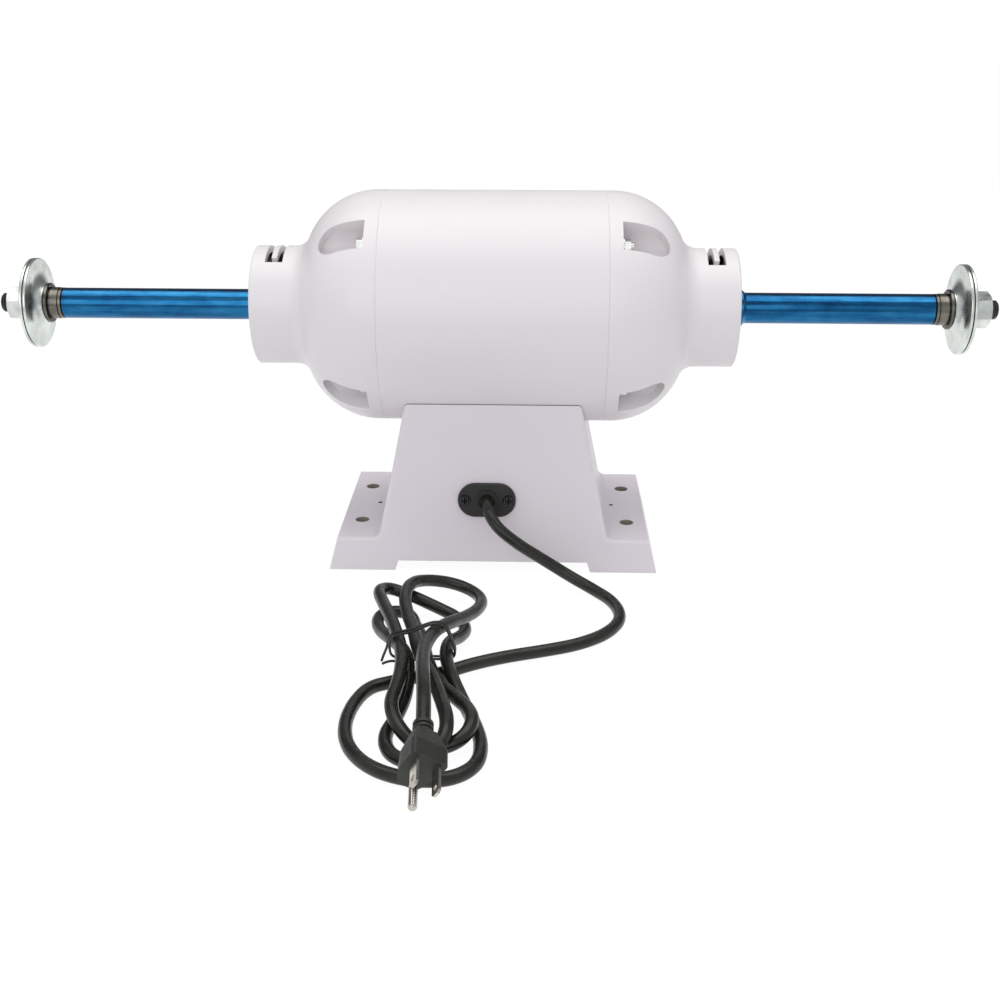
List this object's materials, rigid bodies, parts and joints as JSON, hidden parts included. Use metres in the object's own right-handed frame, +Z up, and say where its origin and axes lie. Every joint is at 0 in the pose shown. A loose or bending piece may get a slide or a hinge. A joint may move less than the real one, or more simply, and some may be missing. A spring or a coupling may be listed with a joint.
{
  "type": "polishing machine",
  "caption": "Bench polishing machine: white motor on a hollow pedestal, long double-ended spindle in blue sleeves with clamping flanges and nuts, tied mains cord.",
  "frame": {"origin": "on the bench, under the middle of the motor shaft and the middle of the base", "axes": "+X along the shaft towards the end with the flared sleeve, +Z up, and the mains cord leaves the base towards -Y; left is -X and right is +X"},
  "size_m": [0.697, 0.4518, 0.252],
  "materials": {
    "pedestal_paint": "smooth white enamel with a faint lilac shade",
    "motor_paint": "smooth white enamel",
    "cover_paint": "flat grey sheet steel",
    "sleeve_blue": "bright blue, drawn lengthwise",
    "collar_steel": "turned, grey-brown",
    "flange_zinc": "bright zinc",
    "nut_zinc": "bright zinc",
    "spindle_black": "black oxide",
    "bearing_steel": "ground and polished",
    "pressed_steel": "pressed sheet",
    "core_laminations": "stacked sheet, blue-grey",
    "rotor_casting": "as cast",
    "winding_copper": "varnished copper wire",
    "fastener_zinc": "bright zinc",
    "black_plastic": "moulded, slightly satin",
    "rocker_plastic": "moulded, glossy",
    "cord_rubber": "semi-gloss jacket",
    "plug_rubber": "matte moulding",
    "blade_nickel": "nickel plate",
    "capacitor_can": "drawn can",
    "terminal_plastic": "ivory moulding",
    "earth_brass": "plain"
  },
  "bodies": {
    "base": {"pedestal": "pedestal_paint", "bottom_cover": "cover_paint", "bottom_cover_screws": "fastener_zinc", "saddle_screws": "fastener_zinc", "motor_shell": "motor_paint", "left_end_bell": "motor_paint", "right_end_bell": "motor_paint", "stator_core": "core_laminations", "stator_winding": "winding_copper", "tie_bolts": "fastener_zinc", "tie_bolt_nuts": "fastener_zinc", "left_bearing_outer_race": "bearing_steel", "right_bearing_outer_race": "bearing_steel", "bearing_preload_washer": "pressed_steel", "bearing_shim_ring": "pressed_steel", "cable_gland": "black_plastic", "gland_screws": "fastener_zinc", "switch_housing": "black_plastic", "run_capacitor": "capacitor_can", "capacitor_clip": "pressed_steel", "terminal_block": "terminal_plastic", "earth_screw": "earth_brass", "mains_cord": "cord_rubber", "cord_hank": "cord_rubber", "cord_tie": "black_plastic", "plug_body": "plug_rubber", "plug_blades": "blade_nickel"},
    "rotor": {"shaft": "spindle_black", "rotor_core": "core_laminations", "rotor_end_rings": "rotor_casting", "left_bearing_inner_race": "bearing_steel", "right_bearing_inner_race": "bearing_steel", "left_shaft_sleeve": "sleeve_blue", "right_shaft_sleeve": "sleeve_blue", "left_collar": "collar_steel", "right_collar": "collar_steel", "left_inner_flange": "flange_zinc", "right_inner_flange": "flange_zinc"},
    "left_outer_flange": {"left_outer_flange": "flange_zinc"},
    "right_outer_flange": {"right_outer_flange": "flange_zinc"},
    "left_nut": {"left_nut": "nut_zinc"},
    "right_nut": {"right_nut": "nut_zinc"},
    "switch_rocker": {"switch_rocker": "rocker_plastic"},
    "left_ball_set": {"left_bearing_balls": "bearing_steel", "left_bearing_cage": "pressed_steel"},
    "right_ball_set": {"right_bearing_balls": "bearing_steel", "right_bearing_cage": "pressed_steel"}
  },
  "joints": [
    {"name": "rotor_spin", "type": "hinge", "parent": "base", "child": "rotor", "pos_m": [0, 0, 0.1725], "axis": [1, 0, 0], "continuous": true},
    {"name": "left_ball_set_roll", "type": "hinge", "parent": "base", "child": "left_ball_set", "pos_m": [-0.152, 0, 0.1725], "axis": [1, 0, 0], "continuous": true},
    {"name": "right_ball_set_roll", "type": "hinge", "parent": "base", "child": "right_ball_set", "pos_m": [0.152, 0, 0.1725], "axis": [1, 0, 0], "continuous": true},
    {"name": "left_outer_flange_slide", "type": "slide", "parent": "rotor", "child": "left_outer_flange", "axis": [-1, 0, 0], "range_m": [0, 0.00999]},
    {"name": "right_outer_flange_slide", "type": "slide", "parent": "rotor", "child": "right_outer_flange", "axis": [1, 0, 0], "range_m": [0, 0.00999]},
    {"name": "left_nut_turn", "type": "hinge", "parent": "left_outer_flange", "child": "left_nut", "pos_m": [-0.3372, 0, 0.1725], "axis": [-1, 0, 0], "range_deg": [0, 1800]},
    {"name": "right_nut_turn", "type": "hinge", "parent": "right_outer_flange", "child": "right_nut", "pos_m": [0.3372, 0, 0.1725], "axis": [-1, 0, 0], "range_deg": [0, 1800]},
    {"name": "switch_rock", "type": "hinge", "parent": "base", "child": "switch_rocker", "pos_m": [0, 0.05742, 0.0614], "axis": [1, 0, 0], "range_deg": [0, 20]}
  ],
  "couplings": [
    {"joint": "left_ball_set_roll", "follows": "rotor_spin", "ratio": 0.38149},
    {"joint": "right_ball_set_roll", "follows": "rotor_spin", "ratio": 0.38149},
    {"joint": "left_nut_turn", "follows": "left_outer_flange_slide", "rad_per_m": 3141.6},
    {"joint": "right_nut_turn", "follows": "right_outer_flange_slide", "rad_per_m": 3141.6}
  ]
}
